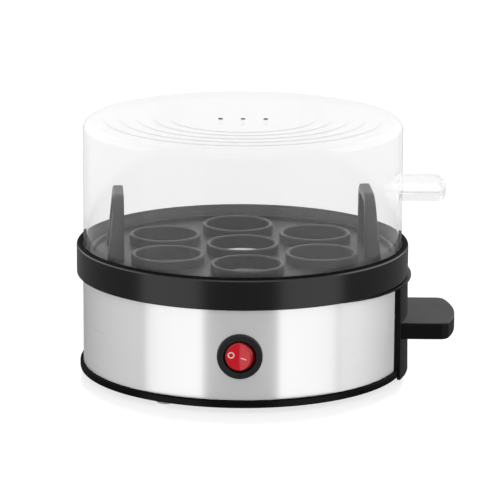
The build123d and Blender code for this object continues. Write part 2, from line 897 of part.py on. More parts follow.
def handle_cover():
    """Curved cover over the ends of the steel band, with a skirt in front of the rim."""
    inner = band_radius + fit_gap
    skirt_inside = rim_radius + fit_gap
    skirt_low = rim_top - cover_skirt
    cover = sector(
        cover_angle,
        (inner, rim_top + fit_gap, 0),
        (skirt_inside, rim_top + fit_gap, 0),
        (skirt_inside, skirt_low, 0),
        (body_radius + cover_flare, skirt_low, cover_edge),
        (body_radius, cover_high, 0),
        (inner, cover_high, 0),
    )
    pad_low = handle_low - handle_thickness
    pad_high = handle_top + handle_thickness
    pad_inner = housing_radius + pin_gap
    pad_angle = band_opening - math.degrees(fit_gap / band_radius)
    pad = sector(
        pad_angle,
        (pad_inner, pad_low, 0),
        (inner + fit_gap, pad_low, 0),
        (inner + fit_gap, pad_high, 0),
        (pad_inner, pad_high, 0),
    )
    return cover + pad


def handle():
    root = band_radius + fit_gap
    plan = tab_plan(root, handle_reach, handle_half_width, handle_end_radius, handle_corner)
    tab = Pos(0, 0, handle_low) * extrude(plan, handle_thickness)
    rims = tab.faces().sort_by(Axis.Z)[0].edges() + tab.faces().sort_by(Axis.Z)[-1].edges()
    tab = fillet([edge for edge in rims if edge.center().X > root + handle_edge], handle_edge)
    pocket_plan = tab_plan(
        body_radius + handle_pocket_root,
        handle_reach - handle_wall,
        handle_half_width - handle_wall,
        handle_end_radius - handle_wall,
        handle_corner - handle_wall,
    )
    rib = Rectangle(4 * handle_reach, handle_wall)
    rib_places = (-handle_half_width / 3, handle_half_width / 3)
    pocket_plan -= [Pos(0, y) * rib for y in rib_places]
    pocket = Pos(0, 0, handle_low - overrun) * extrude(pocket_plan, handle_pocket_depth + overrun)
    tab = tab - disc(root, 0, lid_top) - pocket
    piece = handle_cover() + handle_lip() + tab
    seat = handle_screw_seat()
    grip_end = seat + housing_wall + handle_screw_grip + pin_gap
    for side in (-1, 1):
        piece -= handle_screw_line(side, seat - overrun, grip_end, screw_radius + pin_gap)
    return piece


def handle_screws():
    seat = handle_screw_seat()
    height = (handle_low + handle_top) / 2
    grip = housing_wall + handle_screw_grip
    screw = pan_screw(-screw_head_height, grip, screw_head_radius, screw_head_height, screw_radius)
    laid = Rot(0, 90, 0) * screw
    return group([Pos(seat, side * handle_screw_spread, height) * laid for side in (-1, 1)])


def cup_places():
    """Middles of the egg cups: one on the axis and the rest around it."""
    angles = turns(cup_count, 180 / cup_count)
    return [(0, 0)] + [
        (cup_ring * math.cos(math.radians(a)), cup_ring * math.sin(math.radians(a))) for a in angles
    ]


def loop_foot_boxes(gap):
    """Where the two feet of each lifting loop go through the tray."""
    x = (loop_inner - gap, loop_inner + loop_top_depth + gap)
    z = (ledge_top, tray_top)
    feet = []
    for side in (-1, 1):
        low = min(side * (loop_half_width - loop_strap), side * loop_half_width)
        feet.append(block(x, (low - gap, low + loop_strap + gap), z))
    return feet


def egg_tray():
    plate = disc(tray_radius, ledge_top, tray_top)
    plate += ring(tray_radius - tray_rim_wall, tray_radius, tray_top, tray_top + tray_rim_height)
    cup_top = tray_top + cup_height
    rim = turned(
        (cup_radius, ledge_top, 0),
        (cup_outer, ledge_top, 0),
        (cup_outer, cup_top, cup_edge),
        (cup_radius, cup_top, cup_edge),
    )
    hole = disc(cup_radius, ledge_top - overrun, cup_top + overrun)
    for x, y in cup_places():
        plate = plate - Pos(x, y, 0) * hole + Pos(x, y, 0) * rim
    steam = disc(steam_hole_radius, ledge_top - overrun, tray_top + overrun)
    plate -= around(turns(cup_count), Pos(cup_ring * steam_ring_share, 0, 0) * steam)
    outer = tray_radius - tray_rim_wall - outer_steam_gap - steam_hole_radius
    outer_angles = [a for a in turns(cup_count) if a % 180 != 0]
    plate -= around(outer_angles, Pos(outer, 0, 0) * steam)
    for side in (0, 180):
        plate -= [Rot(0, 0, side) * foot for foot in loop_foot_boxes(hole_gap)]
    return Rot(0, 0, tray_turn) * plate


def tray_loop(side):
    """Lifting loop of the tray: an arch with a sloping outer face and two feet in the tray."""
    top = tray_top + loop_height
    inner_half = loop_half_width - loop_strap
    arch = outline(
        (-loop_half_width, tray_top, 0),
        (loop_half_width, tray_top, 0),
        (loop_half_width, top, loop_corner),
        (-loop_half_width, top, loop_corner),
    )
    arch -= outline(
        (-inner_half, tray_top - overrun, 0),
        (inner_half, tray_top - overrun, 0),
        (inner_half, top - loop_strap, loop_corner - loop_strap),
        (-inner_half, top - loop_strap, loop_corner - loop_strap),
    )
    slab = extrude(Plane.YZ * arch, loop_inner + 2 * loop_foot_depth)
    taper = plate_outline(
        (loop_inner, tray_top, 0),
        (loop_inner + loop_foot_depth, tray_top, 0),
        (loop_inner + loop_top_depth, top, loop_top_depth / 3),
        (loop_inner, top, loop_top_depth / 3),
    )
    loop = slab & extrude(taper, 2 * loop_half_width, both=True)
    for foot in loop_foot_boxes(0):
        loop += foot
    return Rot(0, 0, tray_turn + side) * loop


def lid_ridges():
    """Low rounded ridges on the lid's flat top."""
    outermost = lid_radius - lid_edge - lid_ridge_margin
    radii = [outermost - i * lid_ridge_pitch for i in range(lid_ridge_count)]
    height = lid_top - lid_ridge_sink
    return [revolve(Plane.XZ * (Pos(r, height) * Circle(lid_ridge_radius)), Axis.Z) for r in radii]


def lid():
    shell = turned(
        (0, lid_top, 0),
        (lid_radius, lid_top, lid_edge),
        (lid_radius, ledge_top, 0),
        (lid_inner, ledge_top, 0),
        (lid_inner, lid_top - lid_wall, lid_edge - lid_wall),
        (0, lid_top - lid_wall, 0),
    )
    for ridge in lid_ridges():
        shell += ridge
    shell -= disc(vent_disc_radius, lid_top - vent_disc_depth, lid_top + overrun)
    vent = disc(vent_radius, lid_top - lid_wall - overrun, lid_top + overrun)
    places = [(i - (vent_count - 1) / 2) * vent_pitch for i in range(vent_count)]
    shell -= [Pos(x, 0, 0) * vent for x in places]
    root = lid_radius - lid_tab_half_width
    low = lid_tab_top - lid_tab_depth
    tab_plan_outer = tab_plan(root, lid_tab_reach, lid_tab_half_width, lid_radius, lid_tab_corner)
    tab = Pos(0, 0, low) * extrude(tab_plan_outer, lid_tab_depth)
    upper = tab.faces().sort_by(Axis.Z)[-1].edges()
    tab = fillet([edge for edge in upper if edge.center().X > root + lid_tab_edge], lid_tab_edge)
    hollow_plan = tab_plan(
        root - overrun,
        lid_tab_reach - lid_tab_wall,
        lid_tab_half_width - lid_tab_wall,
        lid_radius - lid_tab_wall,
        lid_tab_corner - lid_tab_wall,
    )
    hollow = Pos(0, 0, low - overrun) * extrude(hollow_plan, lid_tab_depth - lid_tab_wall + overrun)
    tab = tab - hollow - disc(lid_radius - lid_wall / 2, 0, lid_top)
    return shell + tab


pieces = {
    "rubber_feet": rubber_feet(),
    "bottom_cover": bottom_cover(),
    "cover_screws": cover_screws(),
    "base_housing": base_housing(),
    "steel_band": steel_band(),
    "collar_ring": collar_ring(),
    "plate_seal": plate_seal(),
    "heating_plate": heating_plate(),
    "plate_studs": plate_studs(),
    "plate_clamps": plate_clamps(),
    "plate_nuts": plate_nuts(),
    "heat_spreader": heat_spreader(),
    "heating_element": heating_element(),
    "element_insulators": element_insulators(),
    "element_pins": element_pins(),
    "thermostat_cap": thermostat_cap(),
    "thermostat_bracket": thermostat_bracket(),
    "thermostat_body": thermostat_body(),
    "thermostat_blades": thermostat_blades(),
    "sensor_screws": sensor_screws(),
    "thermal_fuse": thermal_fuse(),
    "fuse_clip": fuse_clip(),
    "terminal_block": terminal_block(),
    "terminal_screws": terminal_screws(),
    "wire_live": wire_live(),
    "wire_switched": wire_switched(),
    "wire_heater": wire_heater(),
    "wire_fuse": wire_fuse(),
    "wire_neutral": wire_neutral(),
    "wire_earth": wire_earth(),
    "earth_tag": earth_tag(),
    "switch_bezel": switch_bezel(),
    "switch_terminals": switch_terminals(),
    "neon_lamp": neon_lamp(),
    "rocker": rocker(),
    "cord_gland": cord_gland(),
    "handle": handle(),
    "handle_screws": handle_screws(),
    "egg_tray": egg_tray(),
    "tray_loop_left": tray_loop(180),
    "tray_loop_right": tray_loop(0),
    "lid": lid(),
}

os.makedirs("parts", exist_ok=True)
for name, shape in pieces.items():
    export_step(Pos(frame_shift, 0, 0) * shape, f"parts/{name}.step")
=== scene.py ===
import json

import bmesh
import bpy
import numpy as np
from mathutils import Euler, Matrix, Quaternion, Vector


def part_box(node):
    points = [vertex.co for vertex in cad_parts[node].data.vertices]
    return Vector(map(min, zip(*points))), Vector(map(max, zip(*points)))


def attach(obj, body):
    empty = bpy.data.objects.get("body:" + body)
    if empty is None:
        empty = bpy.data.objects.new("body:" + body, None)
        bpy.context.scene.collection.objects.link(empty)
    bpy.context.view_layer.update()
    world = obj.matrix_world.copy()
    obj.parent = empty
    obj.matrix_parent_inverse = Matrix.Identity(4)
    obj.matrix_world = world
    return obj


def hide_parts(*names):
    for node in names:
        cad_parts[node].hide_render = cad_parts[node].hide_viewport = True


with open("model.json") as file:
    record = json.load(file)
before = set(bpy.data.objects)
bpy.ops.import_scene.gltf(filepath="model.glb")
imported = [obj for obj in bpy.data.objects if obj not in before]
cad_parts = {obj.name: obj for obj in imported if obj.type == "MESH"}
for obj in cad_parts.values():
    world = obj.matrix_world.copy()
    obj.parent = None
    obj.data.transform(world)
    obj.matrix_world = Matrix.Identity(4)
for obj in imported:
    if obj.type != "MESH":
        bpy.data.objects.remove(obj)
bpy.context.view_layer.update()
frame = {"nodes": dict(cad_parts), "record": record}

mm = 0.001
samePlace = 1e-7  # points closer than this are one point
tiny = 1e-9  # keeps a division away from zero
collarLow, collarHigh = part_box("collar_ring")
axisX = (collarLow.x + collarHigh.x) / 2  # the round body's upright axis, on y = 0
print("frame:", len(frame["nodes"]), "nodes, axis at x =", round(axisX / mm, 3), "mm")


# Surfaces

def roundedOutline(corners, steps=8):
    # each corner (x, y, rounding) turns into an arc that meets both of its straight sides
    corner = np.array(corners, float)
    point, rounding = corner[:, :2], corner[:, 2:]
    before = np.roll(point, 1, 0) - point
    after = np.roll(point, -1, 0) - point
    before /= np.linalg.norm(before, axis=1, keepdims=True)
    after /= np.linalg.norm(after, axis=1, keepdims=True)
    half = np.arccos(np.clip((before * after).sum(1, keepdims=True), -1, 1)) / 2
    middle = before + after
    middle /= np.linalg.norm(middle, axis=1, keepdims=True)
    centre = point + middle * rounding / np.sin(half)
    first = point + before * rounding / np.tan(half) - centre
    last = point + after * rounding / np.tan(half) - centre
    turn = (np.pi - 2 * half)[:, None]
    share = np.linspace(0, 1, steps + 1)[None, :, None]
    arc = np.sin((1 - share) * turn) * first[:, None] + np.sin(share * turn) * last[:, None]
    points = (centre[:, None] + arc / np.sin(turn)).reshape(-1, 2)
    moved = np.linalg.norm(points - np.roll(points, 1, 0), axis=1) > samePlace
    return points[moved]


def turnedRows(profile, angles):
    # profile points (radius, height) carried round the body's axis to every angle
    radius, height = profile[:, :1], profile[:, 1:]
    across = np.cos(angles)[None, :]
    along = np.sin(angles)[None, :]
    return np.stack([axisX + radius * across, radius * along, height + 0 * across], -1)


def fullTurn(count):
    return np.linspace(0, 2 * np.pi, count, endpoint=False)


def quarterTurn(count):
    return np.linspace(0, np.pi / 2, count)


def softHump(away):
    # 1 at no distance, falling along half a cosine to 0 at a distance of 1 and beyond
    return (1 + np.cos(np.pi * np.clip(away, 0, 1))) / 2


def gridMesh(name, *grids, closeRows=False, closeRing=True, caps=False):
    # quads between neighbouring points of each grid, closed along its rows, its rings or with flat end caps
    faces, start = [], 0
    for rows in grids:
        index = start + np.arange(rows.shape[0] * rows.shape[1]).reshape(rows.shape[:2])
        low, high = (index, np.roll(index, -1, 0)) if closeRows else (index[:-1], index[1:])
        if closeRing:
            quads = [low, np.roll(low, -1, 1), np.roll(high, -1, 1), high]
        else:
            quads = [low[:, :-1], low[:, 1:], high[:, 1:], high[:, :-1]]
        faces += np.stack(quads, -1).reshape(-1, 4).tolist()
        if caps:
            faces += [index[0].tolist()[::-1], index[-1].tolist()]
        start += index.size
    mesh = bpy.data.meshes.new(name)
    mesh.from_pydata(np.concatenate([rows.reshape(-1, 3) for rows in grids]).tolist(), [], faces)
    return mesh


def tidyMesh(name, mesh, sharp):
    # doubles merged, faces turned outwards, smooth apart from edges sharper than the given degrees
    work = bmesh.new()
    work.from_mesh(mesh)
    bmesh.ops.remove_doubles(work, verts=work.verts, dist=samePlace)
    bmesh.ops.recalc_face_normals(work, faces=work.faces)
    work.to_mesh(mesh)
    work.free()
    mesh.polygons.foreach_set("use_smooth", np.ones(len(mesh.polygons), bool))
    mesh.set_sharp_from_angle(angle=np.radians(sharp))
    obj = bpy.data.objects.new(name, mesh)
    bpy.context.scene.collection.objects.link(obj)
    return obj


def skin(name, *grids, sharp=35, **closing):
    return tidyMesh(name, gridMesh(name, *grids, **closing), sharp)


def faceData(mesh):
    # centres and normals of all the faces, one row each
    count = len(mesh.polygons) * 3
    centre, normal = np.empty(count), np.empty(count)
    mesh.polygons.foreach_get("center", centre)
    mesh.polygons.foreach_get("normal", normal)
    return centre.reshape(-1, 3), normal.reshape(-1, 3)


def pointData(mesh):
    place = np.empty(len(mesh.vertices) * 3)
    mesh.vertices.foreach_get("co", place)
    return place.reshape(-1, 3)


def markLayer(mesh, name, values, domain="FACE"):
    # a number for each face or point, which a finish reads by this name
    layer = mesh.attributes.new(name, "FLOAT", domain)
    layer.data.foreach_set("value", values.astype(np.float32))


def flatShading(obj):
    # large faces keep their own normal, so that flats beside small roundings stay flat
    weights = obj.modifiers.new("faceWeights", "WEIGHTED_NORMAL")
    weights.keep_sharp = True
    return obj


def softEdges(obj, width, angle=25, segments=3):
    # small roundings on the edges that the surface itself leaves sharp
    bevel = obj.modifiers.new("softEdges", "BEVEL")
    bevel.width = width * mm
    bevel.segments = segments
    bevel.limit_method = "ANGLE"
    bevel.angle_limit = np.radians(angle)
    return flatShading(obj)


def dress(obj, body, material, slot, *nodes):
    obj.data.materials.clear()
    obj.data.materials.append(material)
    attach(obj, body)
    if nodes:
        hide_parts(*nodes)
    return obj


# Shader groups

noiseMean = 0.5


def feed(tree, made, inputs):
    # each input gets a link where it is given a socket, and a plain value where it isn't
    for key, value in inputs.items():
        if isinstance(value, bpy.types.NodeSocket):
            tree.links.new(value, made.inputs[key])
        else:
            made.inputs[key].default_value = value


def node(tree, kind, inputs=None, **settings):
    made = tree.nodes.new(kind)
    for key, value in settings.items():
        setattr(made, key, value)
    feed(tree, made, inputs or {})
    return made


def maths(tree, operation, *terms):
    return node(tree, "ShaderNodeMath", dict(enumerate(terms)), operation=operation).outputs[0]


def ranged(tree, value, ends, levels, **settings):
    # change from one level to the other as a value goes from one end to the other
    labels = ("From Min", "From Max", "To Min", "To Max")
    inputs = {"Value": value, **dict(zip(labels, (*ends, *levels)))}
    return node(tree, "ShaderNodeMapRange", inputs, **settings).outputs["Result"]


def newGroup(name, inputs, outputs):
    # inputs are numbers or triples with their starting values, outputs are numbers
    group = bpy.data.node_groups.new(name, "ShaderNodeTree")
    for label, value in inputs.items():
        kind = "NodeSocketVector" if isinstance(value, tuple) else "NodeSocketFloat"
        group.interface.new_socket(label, in_out="INPUT", socket_type=kind).default_value = value
    for label in outputs:
        group.interface.new_socket(label, in_out="OUTPUT", socket_type="NodeSocketFloat")
    return group, group.nodes.new("NodeGroupInput").outputs, group.nodes.new("NodeGroupOutput")


def variedRoughness(group, given, noise):
    # the roughness swings by its spread as the noise does about its mean
    swing = maths(group, "MULTIPLY", maths(group, "SUBTRACT", noise, noiseMean), given["Spread"])
    return maths(group, "ADD", swing, given["Roughness"])


def grainGroup():
    # moulded grain: a fine noise for the height and a slow one for patches of polish
    start = {"Grain Size": 2500.0, "Patch Size": 60.0, "Roughness": 0.35, "Spread": 0.06}
    group, given, out = newGroup("mouldedGrain", start, ("Height", "Roughness", "Patch"))
    place = node(group, "ShaderNodeTexCoord").outputs["Object"]
    fineNoise = {"Vector": place, "Scale": given["Grain Size"], "Detail": 3.0}
    slowNoise = {"Vector": place, "Scale": given["Patch Size"], "Detail": 4.0}
    fine = node(group, "ShaderNodeTexNoise", fineNoise).outputs["Fac"]
    slow = node(group, "ShaderNodeTexNoise", slowNoise).outputs["Fac"]
    feed(group, out, {"Height": fine, "Roughness": variedRoughness(group, given, slow), "Patch": slow})
    return group


def brushGroup():
    # brush lines: noise stretched along the direction whose scale is small
    start = {"Stretch": (14.0, 14.0, 5200.0), "Roughness": 0.3, "Spread": 0.1}
    group, given, out = newGroup("brushLines", start, ("Height", "Roughness", "Line"))
    place = node(group, "ShaderNodeTexCoord").outputs["Object"]
    drawn = node(group, "ShaderNodeVectorMath", {0: place, 1: given["Stretch"]}, operation="MULTIPLY")
    noise = {"Vector": drawn.outputs[0], "Scale": 1.0, "Detail": 5.0, "Roughness": 0.62}
    lines = node(group, "ShaderNodeTexNoise", noise).outputs["Fac"]
    feed(group, out, {"Height": lines, "Roughness": variedRoughness(group, given, lines), "Line": lines})
    return group


def polishGroup():
    # polish that fades out between two heights, for rims that are dull on top
    start = {"Full Below": 0.0, "Dull Above": 1.0, "Full Level": 1.0, "Dull Level": 0.05}
    group, given, out = newGroup("rimPolish", start, ("Polish",))
    place = node(group, "ShaderNodeTexCoord").outputs["Object"]
    height = node(group, "ShaderNodeSeparateXYZ", {0: place}).outputs["Z"]
    heights = given["Full Below"], given["Dull Above"]
    levels = given["Full Level"], given["Dull Level"]
    feed(group, out, {"Polish": ranged(group, height, heights, levels)})
    return group


mouldedGrain = grainGroup()
brushLines = brushGroup()
rimPolish = polishGroup()


def newMaterial(name):
    material = bpy.data.materials.new(name)
    material.use_nodes = True
    return material, material.node_tree, material.node_tree.nodes["Principled BSDF"]


def placed(tree, group, inputs):
    return node(tree, "ShaderNodeGroup", inputs, node_tree=group).outputs


def tinted(tree, mask, colour, swing):
    # colour that goes a little darker and lighter with a mask
    dark = [c * (1 - swing) for c in colour]
    light = [min(1.0, c * (1 + swing)) for c in colour]
    ends = {"Factor": mask, "A": (*dark, 1), "B": (*light, 1)}
    return node(tree, "ShaderNodeMix", ends, data_type="RGBA").outputs["Result"]


def bumped(tree, height, strength, distance):
    inputs = {"Height": height, "Strength": strength, "Distance": distance}
    return node(tree, "ShaderNodeBump", inputs).outputs["Normal"]


def shaded(tree, attribute, level, colour):
    # colour, plain or from a socket, that falls to a share of itself where an attribute of the piece is 1,
    # which is how painted shade goes on
    mask = node(tree, "ShaderNodeAttribute", attribute_name=attribute).outputs["Fac"]
    ends = {"Factor": mask, "A": colour, "B": (level, level, level, 1)}
    return node(tree, "ShaderNodeMix", ends, data_type="RGBA", blend_type="MULTIPLY").outputs["Result"]


def mouldedPlastic(name, colour, rough=0.35, spread=0.06, grain=2500.0, depth=0.00002, bump=0.12, swing=0.1,
                   shine=0.5, shade=None):
    material, tree, shader = newMaterial(name)
    worn = placed(tree, mouldedGrain, {"Grain Size": grain, "Roughness": rough, "Spread": spread})
    shown = tinted(tree, worn["Patch"], colour, swing)
    if shade:
        shown = shaded(tree, *shade, shown)
    feed(tree, shader, {
        "Base Color": shown, "Roughness": worn["Roughness"], "Specular IOR Level": shine,
        "Normal": bumped(tree, worn["Height"], bump, depth),
    })
    return material


def polishedRim(name, colour, fullBelow, dullAbove, gloss, rough, **grain):
    # moulded plastic whose gloss is a coat that stops at its upper edge, heights in mm
    material = mouldedPlastic(name, colour, rough=rough, shine=0.0, **grain)
    tree = material.node_tree
    ends = {"Full Below": fullBelow * mm, "Dull Above": dullAbove * mm, "Full Level": gloss}
    polish = placed(tree, rimPolish, ends)["Polish"]
    feed(tree, tree.nodes["Principled BSDF"], {"Coat Weight": polish, "Coat Roughness": rough})
    return material


def brushedMetal(name, colour, rough=0.3, spread=0.12, stretch=(14.0, 14.0, 5200.0), swing=0.06, bump=0.1,
                 depth=0.00001, anisotropy=0.0, turn=0.0, uvMap=None):
    material, tree, shader = newMaterial(name)
    brushed = placed(tree, brushLines, {"Stretch": stretch, "Roughness": rough, "Spread": spread})
    feed(tree, shader, {
        "Base Color": tinted(tree, brushed["Line"], colour, swing), "Roughness": brushed["Roughness"],
        "Metallic": 1.0, "Anisotropic": anisotropy, "Anisotropic Rotation": turn,
        "Normal": bumped(tree, brushed["Height"], bump, depth),
    })
    if uvMap:
        tangent = node(tree, "ShaderNodeTangent", direction_type="UV_MAP", uv_map=uvMap)
        feed(tree, shader, {"Tangent": tangent.outputs["Tangent"]})
    return material


clearGrain = {"size": 40.0, "spread": 0.02, "bump": 0.015, "depth": 0.0004, "bloomRough": 0.2}


def clearFinish(name, tint, rough, haze, bend, bloom=0.0, gloss=0.0, shades=()):
    # clear moulded plastic that lets lamplight through and goes pale where it is seen at a slant
    material, tree, shader = newMaterial(name)
    grain = {"Grain Size": clearGrain["size"], "Roughness": rough, "Spread": clearGrain["spread"]}
    worn = placed(tree, mouldedGrain, grain)
    shown = (*tint, 1)
    feed(tree, shader, {
        "Base Color": shown, "Roughness": worn["Roughness"], "IOR": bend, "Transmission Weight": 1.0 - haze,
        "Sheen Weight": bloom, "Sheen Roughness": clearGrain["bloomRough"],
        "Coat Weight": gloss, "Coat Roughness": rough,
        "Normal": bumped(tree, worn["Patch"], clearGrain["bump"], clearGrain["depth"]),
    })
    # painted shade: each attribute darkens the colour where it marks the piece
    for attribute, level in shades:
        shown = shaded(tree, attribute, level, shown)
        feed(tree, shader, {"Base Color": shown})  # in place of the colour before it
    shadow = node(tree, "ShaderNodeLightPath").outputs["Is Shadow Ray"]
    through = node(tree, "ShaderNodeBsdfTransparent").outputs[0]
    mix = node(tree, "ShaderNodeMixShader", {0: shadow, 1: shader.outputs[0], 2: through})
    feed(tree, tree.nodes["Material Output"], {"Surface": mix.outputs[0]})
    return material


# Finishes, one for each slot of the record and a few for single pieces

satin = {"spread": 0.05, "grain": 4000.0, "bump": 0.04}
blackFinish = mouldedPlastic("satinBlack", (0.0035, 0.0035, 0.0038), rough=0.22, **satin)
collarFinish = polishedRim("collarBlack", (0.0035, 0.0035, 0.0038), fullBelow=67.2, dullAbove=67.8, gloss=1.0,
                           rough=0.22, **satin)
rimFinish = polishedRim("rimBlack", (0.0015, 0.0015, 0.0017), fullBelow=5.6, dullAbove=6.0, gloss=0.25,
                        rough=0.3, **satin)
handleFinish = mouldedPlastic("grippedBlack", (0.002, 0.002, 0.0022), rough=0.42, grain=3000.0, bump=0.1,
                              shine=0.12)
innerFinish = mouldedPlastic("innerBlack", (0.03, 0.03, 0.03), rough=0.5)
steelFinish = brushedMetal("bandSteel", (0.86, 0.86, 0.865), rough=0.28, spread=0.03, swing=0.03, bump=0.02,
                           anisotropy=1.0, turn=0.25, uvMap="around")
dishFinish = brushedMetal("dishSteel", (0.6, 0.6, 0.61), rough=0.25, stretch=(900.0, 900.0, 900.0))
castFinish = brushedMetal("castAluminium", (0.62, 0.62, 0.62), rough=0.55, stretch=(700.0, 700.0, 700.0),
                          bump=0.5)
zincFinish = brushedMetal("zincPlate", (0.6, 0.61, 0.63), stretch=(1500.0, 1500.0, 1500.0))
brassFinish = brushedMetal("brassStrip", (0.72, 0.5, 0.2), stretch=(200.0, 4000.0, 200.0))
trayFinish = mouldedPlastic("trayBlack", (0.006, 0.006, 0.0065), rough=0.42, spread=0.08, grain=4000.0,
                            bump=0.05)
# the rocker's colour falls to a share of itself on its rim as painted shade, where it sits down in the bezel
redFinish = mouldedPlastic("rockerRed", (0.64, 0.002, 0.013), rough=0.14, spread=0.05, grain=900.0, bump=0.03,
                           shine=0.65, shade=("side", 0.35))
switchFinish = mouldedPlastic("switchBlack", (0.02, 0.02, 0.021), rough=0.45, shine=0.1)
markFinish = mouldedPlastic("markPaint", (0.9, 0.62, 0.6), rough=0.5)
rubberFinish = mouldedPlastic("footRubber", (0.85, 0.85, 0.86), rough=0.65, spread=0.1, grain=1600.0,
                              bump=0.3)
siliconeFinish = mouldedPlastic("sealSilicone", (0.5, 0.49, 0.47), rough=0.45)
ceramicFinish = mouldedPlastic("whiteCeramic", (0.8, 0.79, 0.76), rough=0.3, grain=1200.0)
brownFinish = mouldedPlastic("brownSleeve", (0.12, 0.045, 0.02), rough=0.4)
blueFinish = mouldedPlastic("blueSleeve", (0.02, 0.07, 0.32), rough=0.4)
greenFinish = mouldedPlastic("greenSleeve", (0.16, 0.34, 0.04), rough=0.4)
# the lid's colour carries painted shade: dark on the vents' walls, and lines along the ridges that fade from
# the front
lidFinish = clearFinish("clearLid", (0.95, 0.95, 0.955), rough=0.03, haze=0.02, bend=1.003, bloom=0.05,
                        gloss=0.35, shades=(("ventPaintedShade", 0.02), ("ridgePaintedShade", 0.42)))
# the tab's colour carries a painted shade line along its upper edge
tabFinish = clearFinish("clearTab", (0.89, 0.89, 0.895), rough=0.1, haze=0.1, bend=1.02, gloss=0.15,
                        shades=(("edgePaintedShade", 0.6),))
lampFinish = clearFinish("lampGlass", (1.0, 0.75, 0.6), rough=0.05, haze=0.0, bend=1.49)

slotFinishes = {
    "black_plastic": blackFinish, "inner_plastic": innerFinish, "brushed_steel": steelFinish,
    "clear_plastic": lidFinish, "tray_plastic": trayFinish, "rocker_red": redFinish,
    "switch_black": switchFinish, "foot_rubber": rubberFinish, "silicone": siliconeFinish,
    "stainless_plate": dishFinish, "cast_aluminium": castFinish, "zinc_screw": zincFinish,
    "white_ceramic": ceramicFinish, "brass_terminal": brassFinish, "wire_brown": brownFinish,
    "wire_blue": blueFinish, "wire_green": greenFinish, "lamp_glass": lampFinish,
}
for part in frame["record"]["subparts"]:
    held = frame["nodes"][part["node"]]
    held.data.materials.clear()
    held.data.materials.append(slotFinishes[part["material_slot"]])
frame["nodes"]["bottom_cover"].data.materials[0] = rimFinish
frame["nodes"]["handle_screws"].visible_glossy = False  # behind a cover that reflections pass through
print("finishes:", len(bpy.data.materials))


# Collar: one turned ring with the lid's pocket, the ledge and the skirt inside

collar = {"low": 52.3, "lowEdge": 0.6, "edge": 2.0, "pocketRadius": 82.2, "pocketEdge": 0.7, "ledge": 60.0,
          "ledgeEdge": 0.4, "mouthEdge": 0.5, "skirt": (74.0, 76.0), "skirtEdge": 0.4,
          "flange": (68.0, 46.0, 48.0), "ledgeUnder": 57.5, "lipInside": 82.0, "hiddenEdge": 0.3,
          "turnSteps": 288}


def makeCollar():
    # closed profile of the collar's wall, ledge, skirt and flange carried round the axis
    outer = (collarHigh.x - collarLow.x) / 2 / mm
    low, high, ledge, under = collar["low"], collarHigh.z / mm, collar["ledge"], collar["ledgeUnder"]
    pocket, inside, hidden = collar["pocketRadius"], collar["lipInside"], collar["hiddenEdge"]
    skirtIn, skirtOut = collar["skirt"]
    flangeIn, flangeLow, flangeTop = collar["flange"]
    corners = [
        (outer, low, collar["lowEdge"]), (outer, high, collar["edge"]), (pocket, high, collar["pocketEdge"]),
        (pocket, ledge, collar["ledgeEdge"]), (skirtIn, ledge, collar["mouthEdge"]),
        (skirtIn, flangeTop, collar["skirtEdge"]), (flangeIn, flangeTop, hidden),
        (flangeIn, flangeLow, hidden), (skirtOut, flangeLow, hidden), (skirtOut, under, hidden),
        (inside, under, hidden), (inside, low, hidden),
    ]
    rows = turnedRows(roundedOutline(corners) * mm, fullTurn(collar["turnSteps"]))
    ring = flatShading(skin("collar", rows, closeRows=True))
    return dress(ring, "base", collarFinish, "black_plastic", "collar_ring")


makeCollar()


# Steel band: a thin sheet round the body, open behind the handle, with holes for the switch and the gland

sheet = {"thickness": 0.6, "edge": 0.2, "edgeSteps": 5, "opening": 17.5, "pitch": 1.3, "sharp": 35}
holes = ({"turn": 270.0, "height": 28.7, "radius": 10.1, "blend": 8.0},
         {"turn": 90.0, "height": 15.0, "radius": 5.6, "blend": 3.5})  # switch and cord gland


def gridLines(start, end, breaks, pitch):
    # places from start to end, one on each break and about a pitch apart between them
    edges = [start, *sorted(breaks), end]
    spans = [np.linspace(a, b, max(2, round((b - a) / pitch) + 1)) for a, b in zip(edges, edges[1:])]
    return np.unique(np.concatenate(spans))


def sheetProfile(inner, outer, low, high):
    # up the outside, over the rounded top edge, down the inside and round the lower edge
    edge = sheet["edge"]
    breaks = [hole["height"] + side * hole["radius"] for hole in holes for side in (-1, 1)]
    heights = gridLines(low + edge, high - edge, breaks, sheet["pitch"])
    bend = quarterTurn(sheet["edgeSteps"])
    sine, cosine = edge * np.sin(bend), edge * np.cos(bend)
    wall = np.stack([np.full(len(heights), outer), heights], 1)
    parts = [
        wall, np.stack([outer - edge + cosine, high - edge + sine], 1)[1:],
        np.stack([inner + edge - sine, high - edge + cosine], 1)[:-1], wall[::-1] - (outer - inner, 0),
        np.stack([inner + edge - cosine, low + edge - sine], 1)[1:],
        np.stack([outer - edge + sine, low + edge - cosine], 1)[:-1],
    ]
    return np.concatenate(parts)


